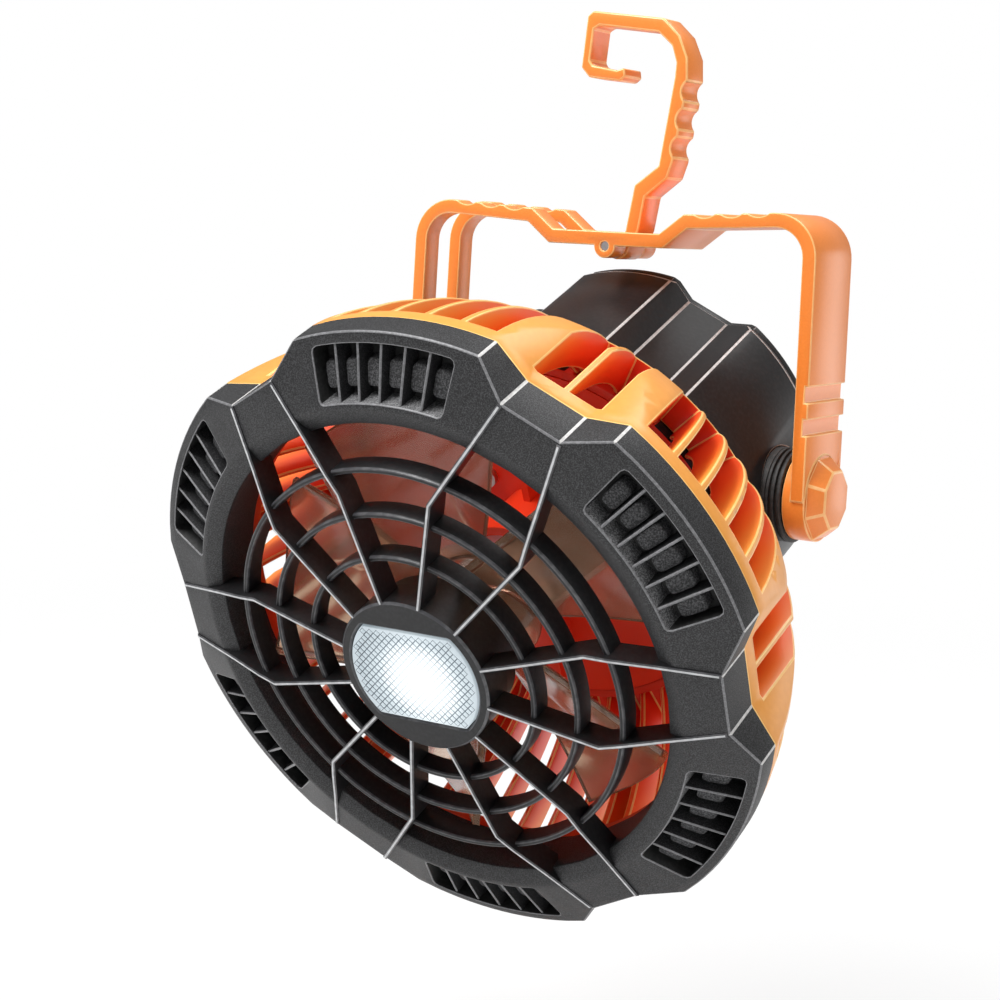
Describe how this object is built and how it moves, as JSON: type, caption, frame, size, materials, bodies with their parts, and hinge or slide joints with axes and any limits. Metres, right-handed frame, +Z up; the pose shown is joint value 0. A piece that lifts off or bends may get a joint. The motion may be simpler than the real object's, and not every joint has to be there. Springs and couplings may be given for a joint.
{
  "type": "portable camping fan with lamp and hanging hook",
  "caption": "Round portable camping fan with a hub lamp, finned orange intake shell, tilting orange handle and folding hanging hook.",
  "frame": {"origin": "inside of the hook's bend, on the middle plane of the hook, where the fan hangs", "axes": "+Z up when hanging, -Y towards the side the fan blows to, +X to the right seen from that side"},
  "size_m": [0.172, 0.1679, 0.2481],
  "materials": {
    "front_frame": "fine grain, charcoal",
    "vent_inserts": "scalloped foam, dark grey",
    "lens": "clear prismatic plastic",
    "reflector": "bright metallised plastic",
    "led_board": "white lamp board",
    "lamp_cup": "fine grain, charcoal",
    "intake_ring": "satin, light orange",
    "rear_housing": "fine grain, charcoal",
    "rear_cover": "fine grain, charcoal",
    "cover_screws": "plain zinc-plated steel",
    "frame_screws": "plain zinc-plated steel",
    "motor_screws": "plain zinc-plated steel",
    "pivot_screws": "plain zinc-plated steel",
    "hook_pin": "plain zinc-plated steel",
    "motor_shaft": "plain zinc-plated steel",
    "usb_port": "plain zinc-plated steel",
    "motor_mount": "plain, charcoal",
    "motor_can": "drawn steel can",
    "motor_bush": "sintered bronze",
    "battery_cells": "shrink-wrapped cell, blue",
    "battery_holder": "plain, black",
    "circuit_board": "green board",
    "tact_switches": "black",
    "charge_window": "clear light pipe",
    "pivot_pads": "ribbed black rubber",
    "fan": "smoke-brown plastic",
    "fan_button": "soft orange rubber",
    "lamp_button": "soft orange rubber",
    "handle": "satin, orange",
    "left_knob": "satin, orange",
    "right_knob": "satin, orange",
    "hook": "satin, orange"
  },
  "bodies": {
    "hook": {"hook": "hook"},
    "handle": {"handle": "handle", "left_knob": "left_knob", "right_knob": "right_knob", "pivot_screws": "pivot_screws", "hook_pin": "hook_pin"},
    "head": {"front_frame": "front_frame", "vent_inserts": "vent_inserts", "lens": "lens", "reflector": "reflector", "led_board": "led_board", "lamp_cup": "lamp_cup", "intake_ring": "intake_ring", "rear_housing": "rear_housing", "rear_cover": "rear_cover", "cover_screws": "cover_screws", "frame_screws": "frame_screws", "motor_mount": "motor_mount", "motor_screws": "motor_screws", "motor_can": "motor_can", "motor_bush": "motor_bush", "battery_cells": "battery_cells", "battery_holder": "battery_holder", "circuit_board": "circuit_board", "tact_switches": "tact_switches", "usb_port": "usb_port", "charge_window": "charge_window", "pivot_pads": "pivot_pads"},
    "fan": {"fan": "fan", "motor_shaft": "motor_shaft"},
    "fan_button": {"fan_button": "fan_button"},
    "lamp_button": {"lamp_button": "lamp_button"}
  },
  "joints": [
    {"name": "hook_fold", "type": "hinge", "parent": "hook", "child": "handle", "pos_m": [0, 0, -0.0603], "axis": [0, 1, 0], "range_deg": [0, 100]},
    {"name": "head_tilt", "type": "hinge", "parent": "handle", "child": "head", "pos_m": [0, 0, -0.1255], "axis": [1, 0, 0], "range_deg": [-23.4, 156.6]},
    {"name": "fan_spin", "type": "hinge", "parent": "head", "child": "fan", "pos_m": [0, 0, -0.1255], "axis": [0, 0.9178, 0.3971], "continuous": true},
    {"name": "fan_button_press", "type": "slide", "parent": "head", "child": "fan_button", "axis": [0, -0.9178, -0.3971], "range_m": [0, 0.0012], "stiffness_N_per_m": 800},
    {"name": "lamp_button_press", "type": "slide", "parent": "head", "child": "lamp_button", "axis": [0, -0.9178, -0.3971], "range_m": [0, 0.0012], "stiffness_N_per_m": 800}
  ]
}
